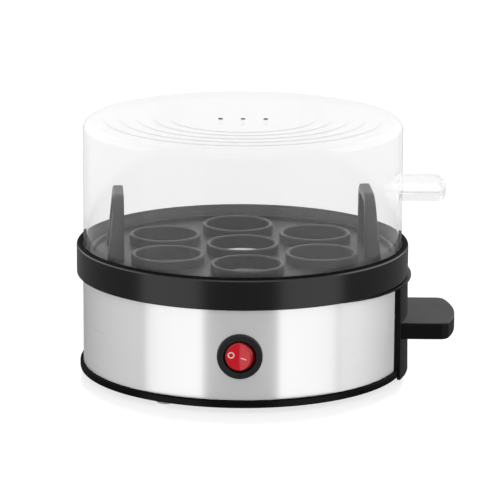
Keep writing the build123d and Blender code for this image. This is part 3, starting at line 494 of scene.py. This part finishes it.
def makeBand():
    # sheet profile carried round the open part of the turn, with a map along the brush; squares of grid lines
    # round each hole are drawn on to circles, and the faces inside the smallest are taken out
    low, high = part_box("steel_band")
    outer = (high.y - low.y) / 2 / mm
    profile = sheetProfile(outer - sheet["thickness"], outer, low.z / mm, high.z / mm)
    breaks = [hole["turn"] + side * np.degrees(hole["radius"] / outer) for hole in holes for side in (-1, 1)]
    turn = gridLines(sheet["opening"], 360 - sheet["opening"], breaks, np.degrees(sheet["pitch"] / outer))
    radius = profile[:, 0]
    along = np.radians(turn)[:, None] * outer + 0 * radius
    height = profile[:, 1] + 0 * along
    for hole in holes:
        place = np.radians(hole["turn"]) * outer
        across, up = along - place, height - hole["height"]
        square = np.maximum(np.abs(across), np.abs(up))
        away = np.maximum(np.hypot(across, up), tiny)
        fade = np.clip((square - hole["radius"]) / hole["blend"], 0, 1)
        scale = (1 - fade) * square / away + fade
        along, height = place + across * scale, hole["height"] + up * scale
    angle = along / outer
    rows = np.stack([axisX / mm + radius * np.cos(angle), radius * np.sin(angle), height], -1) * mm
    mesh = gridMesh("steelBand", rows, caps=True)
    openHoles(mesh, outer)
    band = flatShading(tidyMesh("steelBand", mesh, sheet["sharp"]))
    mapAround(band.data)
    return dress(band, "base", steelFinish, "brushed_steel", "steel_band")


def openHoles(mesh, outer):
    # faces inside each hole's circle go, and the two circles left are joined by the hole's wall
    centre = faceData(mesh)[0]
    turn = np.arctan2(centre[:, 1], centre[:, 0] - axisX) % (2 * np.pi)
    work = bmesh.new()
    work.from_mesh(mesh)
    work.faces.ensure_lookup_table()
    gone = np.zeros(len(turn), bool)
    for hole in holes:
        across = (turn - np.radians(hole["turn"])) * outer
        gone |= np.hypot(across, centre[:, 2] / mm - hole["height"]) < hole["radius"]
    bmesh.ops.delete(work, geom=[work.faces[i] for i in np.flatnonzero(gone)], context="FACES")
    rims = [edge for edge in work.edges if edge.is_boundary]
    for side in (-1, 1):
        bmesh.ops.bridge_loops(work, edges=[edge for edge in rims if edge.verts[0].co.y * side > 0])
    work.to_mesh(mesh)
    work.free()


def mapAround(mesh):
    # u follows the angle round the body from the handle's side, v the height
    corner = np.empty(len(mesh.loops), np.int32)
    mesh.loops.foreach_get("vertex_index", corner)
    place = pointData(mesh)[corner]
    angle = np.arctan2(place[:, 1], place[:, 0] - axisX) % (2 * np.pi)
    layer = mesh.uv_layers.new(name="around")
    layer.data.foreach_set("uv", np.stack([angle / (2 * np.pi), place[:, 2]], 1).ravel())


makeBand()
print("base: collar and band")


# Clear lid: a turned shell with ridges and vents, and a hollow tab

lidLow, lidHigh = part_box("lid")
lidRadius = (lidHigh.y - lidLow.y) / 2 / mm
lid = {"wall": 1.8, "edge": 5.0, "foot": 0.4, "ridgeProud": 0.25, "ridges": (36.8, 45.3, 53.8, 62.3, 70.8),
       "waveHeight": 0.06, "waveHalf": 0.5, "lineHalf": 1.9, "vent": 1.15, "ventPitch": 11.5,
       "ventDisc": 19.0, "ventStep": 0.5, "ventShade": 0.6, "steep": 0.5, "topRows": 240,
       "bendSteps": 14, "turnSteps": 288, "ventSteps": 40, "sharp": 25}


def ridgeAway(radius, half):
    # distance from the nearest ridge, as a share of half a width
    return np.abs(radius[:, None] - np.array(lid["ridges"])[None, :]).min(1) / half


def lidProfile(low, top):
    # from the vent disc out over the ridged top, round the edge and down the outside, then up the inside
    wall, edge, foot, disc = lid["wall"], lid["edge"], lid["foot"], lid["ventDisc"]
    inner, small = lidRadius - wall, edge - wall
    radius = np.linspace(disc + lid["ventStep"], lidRadius - edge, lid["topRows"])
    ridged = np.stack([radius, top + lid["waveHeight"] * softHump(ridgeAway(radius, lid["waveHalf"]))], 1)
    bend = np.linspace(np.pi / 2, 0, lid["bendSteps"])
    back = bend[::-1]
    outside = np.stack([lidRadius - edge + edge * np.cos(bend), top - edge + edge * np.sin(bend)], 1)
    feet = [[lidRadius, low + foot], [lidRadius - foot, low], [inner + foot, low], [inner, low + foot]]
    inside = np.stack([inner - small + small * np.cos(back), top - edge + small * np.sin(back)], 1)
    return np.concatenate([[[disc, top]], ridged[:-1], outside, feet, inside, [[disc, top - wall]]])


def makeLid():
    # lid profile carried round the axis; the flat disc in its middle is filled in around the three vents
    top = lidHigh.z / mm - lid["ridgeProud"]
    profile = lidProfile(lidLow.z / mm, top) * mm
    levels = profile[[0, -1], 1]
    # an extra ring of points on each vent bounds the painted shade on the upper part of its wall
    depths = np.insert(levels, 1, levels[0] - lid["ventShade"] * mm)
    turn = fullTurn(lid["ventSteps"])
    grids = [turnedRows(profile, fullTurn(lid["turnSteps"]))]
    for place in (-lid["ventPitch"], 0, lid["ventPitch"]):
        circle = np.stack([place + lid["vent"] * np.cos(turn), lid["vent"] * np.sin(turn)], 1) * mm
        circle += (axisX, 0)
        grids.append(np.stack([np.column_stack([circle, np.full(len(turn), z)]) for z in depths]))
    mesh = gridMesh("lidShell", *grids)
    work = bmesh.new()
    work.from_mesh(mesh)
    for level in levels:
        rim = [edge for edge in work.edges
               if edge.is_boundary and abs(edge.verts[0].co.z - level) < samePlace]
        bmesh.ops.triangle_fill(work, use_beauty=True, edges=rim, normal=(0, 0, 1))
    work.to_mesh(mesh)
    work.free()
    shell = tidyMesh("lidShell", mesh, lid["sharp"])
    markLid(shell.data)
    return dress(shell, "lid", lidFinish, "clear_plastic", "lid")


def markLid(mesh):
    # two face attributes for painted shade: 1 on the upper part of the vents' walls, drawn dark, and a soft
    # band along each ridge that is strongest at the front and gone at the sides, painted shade that stands in
    # for the dark lines the ridges show
    centre, normal = faceData(mesh)
    away = np.hypot(centre[:, 0] - axisX, centre[:, 1])
    upper = lidHigh.z - (lid["ridgeProud"] + lid["ventShade"]) * mm
    upright = np.abs(normal[:, 2]) < lid["steep"]
    # painted shade band: soft along each ridge, strongest at the front
    band = softHump(ridgeAway(away / mm, lid["lineHalf"])) * np.clip(-centre[:, 1] / away, 0, 1)
    # painted shade: the upper part of each vent's wall is marked to be drawn dark, though the hole itself is
    # clear
    markLayer(mesh, "ventPaintedShade", (away < lid["ventDisc"] * mm) & upright & (centre[:, 2] > upper))
    markLayer(mesh, "ridgePaintedShade", np.where(normal[:, 2] > lid["steep"], band, 0))


tab = {"reach": lidHigh.x / mm - axisX / mm, "halfWidth": 22.0, "endRadius": lidRadius, "corner": 4.0,
       "top": 99.0, "depth": 5.0, "wall": 1.6, "edge": 0.6, "lowEdge": 0.2, "rootGap": 0.02, "bendSteps": 6,
       "sharp": 40, "edgeUpright": 0.995, "endLine": 0.7, "endShade": 0.3}


def tabOutline(rootRadius, reach, half, endRadius, corner, steps=24):
    # plan of a grip tab: sides run from a root on the round wall to an end on a wide arc, corners rounded
    inside = endRadius - corner
    centre = reach - endRadius
    lean = np.arcsin((half - corner) / inside)
    cornerX = centre + inside * np.cos(lean)
    end = np.linspace(-lean, lean, 3 * steps)
    turn = np.linspace(-np.pi / 2, -lean, steps)
    first = np.stack([cornerX + corner * np.cos(turn), -(half - corner) + corner * np.sin(turn)], 1)
    middle = np.stack([centre + endRadius * np.cos(end), endRadius * np.sin(end)], 1)
    last = first[::-1] * (1, -1)
    spread = np.arcsin(half / rootRadius)
    back = np.linspace(spread, -spread, 2 * steps)
    root = np.stack([rootRadius * np.cos(back), rootRadius * np.sin(back)], 1)
    return np.concatenate([first[:-1], middle, last[1:], root])


def tabRow(sizes, rootRadius, inset, height):
    # the plan drawn in by an inset, at a height
    inward = [sizes[key] - inset for key in ("reach", "halfWidth", "endRadius", "corner")]
    flat = tabOutline(rootRadius, *inward)
    return np.column_stack([axisX / mm + flat[:, 0], flat[:, 1], np.full(len(flat), height)]) * mm


def makeLidTab():
    # plans that go down the inside of the hollow, round its lower edge, up the outside and over the top edge
    top, wall, edge, small = tab["top"], tab["wall"], tab["edge"], tab["lowEdge"]
    low = top - tab["depth"]
    path = [(wall, top - wall), (wall, low + small), (wall - small, low), (small, low), (0, low + small)]
    path += [(edge * (1 - np.cos(b)), top - edge + edge * np.sin(b)) for b in quarterTurn(tab["bendSteps"])]
    rows = np.stack([tabRow(tab, lidRadius + tab["rootGap"], *step) for step in path])
    piece = flatShading(skin("lidTab", rows, caps=True, sharp=tab["sharp"]))
    markTab(piece.data)
    return dress(piece, "lid", tabFinish, "clear_plastic")


def markTab(mesh):
    # face attribute for painted shade: the rounding along the tab's upper edge, strongest where it faces the
    # front, and less on the wall of its end, drawn darker as a shade line along the edge
    centre, normal = faceData(mesh)
    high = centre[:, 2] > (tab["top"] - tab["edge"]) * mm
    rounding = high & (np.abs(normal[:, 2]) < tab["edgeUpright"])
    endWall = centre[:, 0] - axisX > (tab["reach"] - tab["corner"]) * mm
    facing = np.maximum(-normal[:, 1], tab["endLine"] * normal[:, 0])
    facing /= np.maximum(np.hypot(normal[:, 0], normal[:, 1]), tiny)
    wall = np.where(endWall, tab["endShade"] * normal[:, 0], 0)
    markLayer(mesh, "edgePaintedShade", np.clip(np.where(rounding, facing, wall), 0, 1))


makeLid()
makeLidTab()
print("lid: shell and tab")


# Handle: a curved cover over the band's ends, a lip under the collar and a hollow grip with two ribs

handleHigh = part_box("handle")[1]
cover = {"halfAngle": 19.2, "inner": 82.0, "top": 51.9, "outer": 85.0, "flare": 0.6, "rimTop": 6.5,
         "rimSide": 83.7, "low": 2.0, "edge": 0.4, "turnSteps": 60}


def makeCover():
    # cover profile, flared and reaching down past the rim, carried through the angle either side of +x
    inner, outer, low, top = cover["inner"], cover["outer"], cover["low"], cover["top"]
    rimSide, rimTop = cover["rimSide"], cover["rimTop"]
    points = [(inner, rimTop), (rimSide, rimTop), (rimSide, low), (outer + cover["flare"], low), (outer, top),
              (inner, top)]
    angles = np.radians(np.linspace(-cover["halfAngle"], cover["halfAngle"], cover["turnSteps"]))
    rows = np.swapaxes(turnedRows(np.array(points) * mm, angles), 0, 1)
    piece = softEdges(skin("handleCover", rows, caps=True), cover["edge"])
    piece.visible_glossy = False  # keeps its dark double off the steel beside it
    return dress(piece, "base", handleFinish, "black_plastic", "handle")


lip = {"halfAngle": 52.0, "inner": 82.0, "reach": 86.7, "curve": 77.5, "thick": 0.9, "endThick": 0.3,
       "taper": 16.0, "top": 51.9, "edge": 0.13, "turnSteps": 120, "bendSteps": 5, "sharp": 40}


def makeLip():
    # ledge from the cover's inner circle out to a tighter circle set off towards +x, with rounded outer
    # edges, thinner towards its two ends
    degrees = np.linspace(-lip["halfAngle"], lip["halfAngle"], lip["turnSteps"])
    across, along = np.cos(np.radians(degrees))[:, None], np.sin(np.radians(degrees))[:, None]
    share = np.clip((lip["halfAngle"] - np.abs(degrees)) / lip["taper"], 0, 1)
    low = lip["top"] - lip["endThick"] - (lip["thick"] - lip["endThick"]) * share[:, None]
    centre = lip["reach"] - lip["curve"]
    outer = centre * across + np.sqrt(lip["curve"] ** 2 - (centre * along) ** 2)
    bend = quarterTurn(lip["bendSteps"])
    inset = lip["edge"] * (1 - np.sin(bend))
    rise = lip["edge"] * (1 - np.cos(bend))
    upper = np.append(lip["top"] - rise[::-1], lip["top"])
    height = np.hstack([low, low + rise, np.tile(upper, (len(degrees), 1))])
    radius = outer - np.concatenate([inset, inset[::-1]])[None, :]
    radius = np.pad(radius, ((0, 0), (1, 1)), constant_values=lip["inner"])
    rows = np.stack([axisX / mm + radius * across, radius * along, height], -1) * mm
    piece = flatShading(skin("handleLip", rows, caps=True, sharp=lip["sharp"]))
    return dress(piece, "base", handleFinish, "black_plastic")


grip = {"reach": (handleHigh.x - axisX) / mm, "halfWidth": 27.5, "endRadius": 77.0, "corner": 5.0,
        "low": 23.4, "top": 31.8, "edge": 0.7, "wall": 2.4, "pocketDepth": 4.6, "pocketRoot": 93.0,
        "root": 83.5, "rib": 2.4, "ribParts": 3, "bendSteps": 7, "sharp": 40}


def makeGrip():
    # plans from the pocket's roof down its walls, round the lower edge, up the side and over the top edge;
    # the ribs stand off the middle by a part of the half width
    low, top, edge, wall, root = grip["low"], grip["top"], grip["edge"], grip["wall"], grip["root"]
    roof, pocketRoot = low + grip["pocketDepth"], grip["pocketRoot"]
    bend = quarterTurn(grip["bendSteps"])
    pocket = [tabRow(grip, pocketRoot, wall, height) for height in (roof, low)]
    under = [tabRow(grip, root, edge * (1 - np.cos(b)), low + edge * (1 - np.sin(b))) for b in bend[::-1]]
    over = [tabRow(grip, root, edge * (1 - np.cos(b)), top - edge * (1 - np.sin(b))) for b in bend]
    body = np.stack(pocket + under + over)
    along = axisX / mm + np.array([0, 0, 1, 1]) * (grip["reach"] - wall - pocketRoot) + pocketRoot
    ribs = []
    for side in (-1, 1):
        across = side * grip["halfWidth"] / grip["ribParts"] + np.array([-1, 1, 1, -1]) * grip["rib"] / 2
        rows = [np.column_stack([along, across, np.full(len(along), z)]) for z in (roof, low)]
        ribs.append(np.stack(rows) * mm)
    piece = flatShading(skin("handleGrip", body, *ribs, caps=True, sharp=grip["sharp"]))
    piece.visible_glossy = False  # as the cover
    return dress(piece, "base", handleFinish, "black_plastic")


makeCover()
makeLip()
makeGrip()
print("handle: cover, lip and grip")


# Switch: a red rocker with a shallow V face in the bezel, and two painted signs

rockerLow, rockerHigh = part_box("rocker")
switch = {"pivotY": -80.3, "ball": 7.8, "face": 3.3, "half": 8.0, "back": 2.0, "softness": 34.0,
          "valley": 0.1, "leastFall": 0.01, "rimShadeFrom": 0.93, "rimShadeSpread": 0.05, "rings": 130,
          "turnSteps": 144, "sharp": 60}


def rockerPlace(x, ahead, z):
    # from the rocker's own frame, pivot at zero and face ahead, to the frame with the left half pressed in
    tilt = np.radians(-switch["half"])
    middle = (rockerLow.z + rockerHigh.z) / 2 / mm
    return np.stack([axisX / mm + x * np.cos(tilt) + ahead * np.sin(tilt),
                     switch["pivotY"] + x * np.sin(tilt) - ahead * np.cos(tilt), middle + z], -1) * mm


def makeRocker():
    # ball radius and the distance to the V face along each direction, joined by a high power sum that leaves
    # a soft rim
    ball, power = switch["ball"], switch["softness"]
    slope = np.tan(np.radians(switch["half"]))
    polar = np.linspace(0, np.arccos(-switch["back"] / ball), switch["rings"])[:, None]
    turn = fullTurn(switch["turnSteps"])[None, :]
    x, ahead, z = np.sin(polar) * np.cos(turn), np.cos(polar) + 0 * turn, np.sin(polar) * np.sin(turn)
    fall = np.maximum(ahead - slope * np.sqrt(x ** 2 + switch["valley"] ** 2), switch["leastFall"])
    reach = (ball ** -power + (switch["face"] / fall) ** -power) ** (-1 / power)
    piece = skin("rockerCap", rockerPlace(reach * x, reach * ahead, reach * z), sharp=switch["sharp"])
    pivot = rockerPlace(*np.zeros((3, 1)))
    # painted shade: points near the rim of the ball are marked by the side attribute, and the finish draws
    # them darker
    away = np.linalg.norm(pointData(piece.data) - pivot, axis=1) / mm / ball
    share = np.clip((away - switch["rimShadeFrom"]) / switch["rimShadeSpread"], 0, 1)
    markLayer(piece.data, "side", share, "POINT")
    return dress(piece, "rocker", redFinish, "rocker_red", "rocker")


signs = {"ringPlace": (-3.75, 0.85), "ringRadius": 1.35, "line": 0.6, "strokePlace": (2.45, -0.8),
         "strokeHalf": 1.2, "strokeLean": -14.0, "strokeCore": 0.05, "lift": 0.03, "depth": 0.1,
         "turnSteps": 72, "sharp": 40}


def signRows(x, z, inner, outer):
    # a closed band between two outlines on the rocker's face, a little proud of it
    slope = np.tan(np.radians(switch["half"]))

    def row(scale, lift):
        px, pz = x(scale), z(scale)
        return rockerPlace(px, switch["face"] + slope * np.abs(px) + lift, pz)

    high, low = signs["lift"], signs["lift"] - signs["depth"]
    return np.stack([row(inner, low), row(inner, high), row(outer, high), row(outer, low)])


def makeSigns():
    # a ring, and a stroke whose outline is a stretched oval with flat sides
    turn = fullTurn(signs["turnSteps"])
    ringX, ringZ = signs["ringPlace"]
    half = signs["line"] / 2
    ring = signRows(lambda r: ringX + r * np.cos(turn), lambda r: ringZ + r * np.sin(turn),
                    signs["ringRadius"] - half, signs["ringRadius"] + half)
    strokeX, strokeZ = signs["strokePlace"]
    lean = np.radians(signs["strokeLean"])
    flatX, flatZ = signs["strokeHalf"] * np.sign(np.cos(turn)) + half * np.cos(turn), half * np.sin(turn)
    leanX, leanZ = flatX * np.cos(lean) - flatZ * np.sin(lean), flatX * np.sin(lean) + flatZ * np.cos(lean)
    stroke = signRows(lambda s: strokeX + s * leanX, lambda s: strokeZ + s * leanZ, signs["strokeCore"], 1.0)
    piece = skin("rockerSigns", ring, stroke, closeRows=True, sharp=signs["sharp"])
    return dress(piece, "rocker", markFinish, "rocker_red")


makeRocker()
makeSigns()
print("switch: rocker and signs")


# Lifting loops: a strap with rounded edges bent into an arch, thicker towards its feet

loop = {"inner": 60.97, "half": 20.0, "foot": 60.0, "strap": 5.0, "corner": 10.0, "topDepth": 5.0,
        "footDepth": 8.5, "edge": 0.9, "turn": 4.0, "tray": 62.0, "legSteps": 12, "arcSteps": 14,
        "topSteps": 6, "edgeSteps": 32, "sharp": 50}


def loopPath(top):
    # up one leg, round the corner and along the top to the middle, then the same mirrored
    half, bend = loop["half"] - loop["strap"] / 2, loop["corner"] - loop["strap"] / 2
    arc = quarterTurn(loop["arcSteps"])
    leg = np.linspace(loop["foot"], top - loop["corner"], loop["legSteps"], endpoint=False)
    rise = np.stack([np.full(len(leg), -half), leg], 1)
    first = np.stack([-half + bend - bend * np.cos(arc), top - loop["corner"] + bend * np.sin(arc)], 1)
    across = np.linspace(-half + bend, 0, loop["topSteps"])[1:]
    path = np.concatenate([rise, first, np.stack([across, np.full(len(across), top - loop["strap"] / 2)], 1)])
    return np.concatenate([path, path[-2::-1] * (-1, 1)])


def makeLoop(name, nodeName, side):
    # rounded rectangle carried along the arch, its depth growing from the top down to the tray, thin below it
    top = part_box(nodeName)[1].z / mm
    path = loopPath(top)
    along = np.gradient(path, axis=0)
    along /= np.linalg.norm(along, axis=1, keepdims=True)
    normal = np.stack([-along[:, 1], along[:, 0]], 1)
    share = np.clip((top - path[:, 1]) / (top - loop["tray"]), 0, 1)
    depth = loop["topDepth"] + (loop["footDepth"] - loop["topDepth"]) * share
    depth = np.where(path[:, 1] < loop["tray"], loop["topDepth"], depth)[:, None]
    edge = loop["edge"]
    turn = fullTurn(loop["edgeSteps"]) + np.pi / loop["edgeSteps"]
    wide = np.sign(np.cos(turn)) * (loop["strap"] / 2 - edge) + edge * np.cos(turn)
    out = depth / 2 + np.sign(np.sin(turn)) * (depth / 2 - edge) + edge * np.sin(turn)
    x = loop["inner"] + out
    y = path[:, :1] + normal[:, :1] * wide
    z = path[:, 1:] + normal[:, 1:] * wide
    angle = np.radians(loop["turn"] + side)
    turned = [axisX / mm + x * np.cos(angle) - y * np.sin(angle), x * np.sin(angle) + y * np.cos(angle), z]
    piece = flatShading(skin(name, np.stack(turned, -1) * mm, caps=True, sharp=loop["sharp"]))
    return dress(piece, "tray", trayFinish, "tray_plastic", nodeName)


makeLoop("loopRight", "tray_loop_right", 0)
makeLoop("loopLeft", "tray_loop_left", 180)
print("tray: loops")


# Floor, world, lamp and camera

ground = {"size": 6.0, "lines": 3, "colour": 0.2, "lift": 0.74, "liftThrough": 0.5, "rough": 0.22,
          "shine": 0.3}


def makeFloor():
    # flat grid with a slight sheen; seen by the camera and through glass it is lifted to white
    half = ground["size"] / 2
    side = np.linspace(-half, half, ground["lines"])
    x, y = np.meshgrid(side, side)
    floor = skin("floor", np.stack([x, y, 0 * x], -1), closeRing=False)
    material, tree, shader = newMaterial("paleFloor")
    path = node(tree, "ShaderNodeLightPath").outputs
    through = maths(tree, "MULTIPLY", path["Is Transmission Ray"], ground["liftThrough"])
    glow = maths(tree, "MULTIPLY_ADD", path["Is Camera Ray"], ground["lift"], through)
    tone = ground["colour"]
    feed(tree, shader, {
        "Base Color": (tone, tone, tone, 1), "Roughness": ground["rough"],
        "Specular IOR Level": ground["shine"], "Emission Color": (1, 1, 1, 1), "Emission Strength": glow,
    })
    floor.data.materials.append(material)
    floor.visible_glossy = False


# Angles from the front are in degrees; horizon and overhead are heights on the unit sphere
studio = {"bandNear": 27.0, "bandFar": 73.0, "edge": 1.6, "farEdge": 3.2, "bandLevel": 1.17,
          "frontLow": 0.2, "frontHigh": 1.5, "sideLow": 0.2, "sideHigh": 2.3, "backHigh": 1.0,
          "rightGlow": 0.85, "glowRise": (40.0, 60.0), "glowFall": (75.0, 165.0), "backTurn": (145.0, 170.0),
          "horizon": (-0.13, 0.08), "overhead": (0.55, 0.85), "topLevel": 0.8, "seenLevel": 1.0}


def makeWorld():
    # two upright soft boxes either side of the front, on a surround that is dim low down and bright above
    world = bpy.data.worlds.new("studio")
    bpy.context.scene.world = world
    world.use_nodes = True
    tree = world.node_tree

    def step(source, ends, low=0.0, high=1.0):
        return ranged(tree, source, ends, (low, high), interpolation_type="SMOOTHSTEP")

    def blended(share, first, second):
        inputs = {"Factor": share, "A": first, "B": second}
        return node(tree, "ShaderNodeMix", inputs, data_type="FLOAT").outputs["Result"]

    def around(middle, edge):
        return np.radians((studio[middle] - studio[edge], studio[middle] + studio[edge]))

    place = node(tree, "ShaderNodeTexCoord").outputs["Generated"]
    way = node(tree, "ShaderNodeSeparateXYZ", {0: place}).outputs
    angle = maths(tree, "ARCTAN2", way["X"], maths(tree, "MULTIPLY", way["Y"], -1.0))
    away = maths(tree, "ABSOLUTE", angle)
    opened = step(away, around("bandNear", "edge"))
    closed = step(away, around("bandFar", "farEdge"), 1.0, 0.0)
    aside = step(away, around("bandFar", "edge"))
    rightward = step(angle, np.radians(studio["glowRise"]), 0.0, studio["rightGlow"])
    fading = step(angle, np.radians(studio["glowFall"]), 1.0, 0.0)
    behind = step(away, np.radians(studio["backTurn"]))
    high = blended(aside, studio["frontHigh"], studio["sideHigh"])
    high = maths(tree, "MULTIPLY_ADD", rightward, fading, high)
    high = blended(behind, high, studio["backHigh"])
    low = blended(aside, studio["frontLow"], studio["sideLow"])
    level = blended(step(way["Z"], studio["horizon"]), low, high)
    level = blended(step(way["Z"], studio["overhead"]), level, studio["topLevel"])
    shown = blended(maths(tree, "MULTIPLY", opened, closed), level, studio["bandLevel"])
    path = node(tree, "ShaderNodeLightPath").outputs
    plain = maths(tree, "MAXIMUM", path["Is Camera Ray"], path["Is Transmission Ray"])
    strength = blended(plain, shown, studio["seenLevel"])
    feed(tree, tree.nodes["Background"], {"Color": (1, 1, 1, 1), "Strength": strength})


topBox = {"size": (1.2, 0.8), "forward": 0.2, "height": 1.2, "power": 1.0}


def makeLamp():
    lamp = bpy.data.lights.new("topBox", "AREA")
    lamp.shape = "RECTANGLE"
    lamp.size, lamp.size_y = topBox["size"]
    lamp.energy = topBox["power"]
    holder = bpy.data.objects.new("topBox", lamp)
    holder.location = (axisX, -topBox["forward"], topBox["height"])
    bpy.context.scene.collection.objects.link(holder)


camera = {"away": 1.56146, "height": 0.4324, "yaw": 0.75, "pitch": 13.315, "roll": 0.277, "lens": 225.05,
          "sensor": 36.0, "shift": 0.01503, "clip": (0.05, 50.0)}


def makeCamera():
    # a long lens a little right of the front, turned back to the body's axis and tipped down
    data = bpy.data.cameras.new("photoView")
    data.lens = camera["lens"]
    data.sensor_width = camera["sensor"]
    data.shift_x = camera["shift"]
    data.clip_start, data.clip_end = camera["clip"]
    holder = bpy.data.objects.new("photoView", data)
    yaw = np.radians(camera["yaw"])
    holder.location = (axisX + camera["away"] * np.sin(yaw), -camera["away"] * np.cos(yaw), camera["height"])
    level = Euler((np.radians(90 - camera["pitch"]), 0, yaw)).to_quaternion()
    holder.rotation_mode = "QUATERNION"
    holder.rotation_quaternion = level @ Quaternion((0, 0, 1), np.radians(camera["roll"]))
    bpy.context.scene.collection.objects.link(holder)
    bpy.context.scene.camera = holder


makeFloor()
makeWorld()
makeLamp()
makeCamera()
bpy.context.scene.view_settings.view_transform = "Standard"
print("studio: floor, world, lamp and camera")
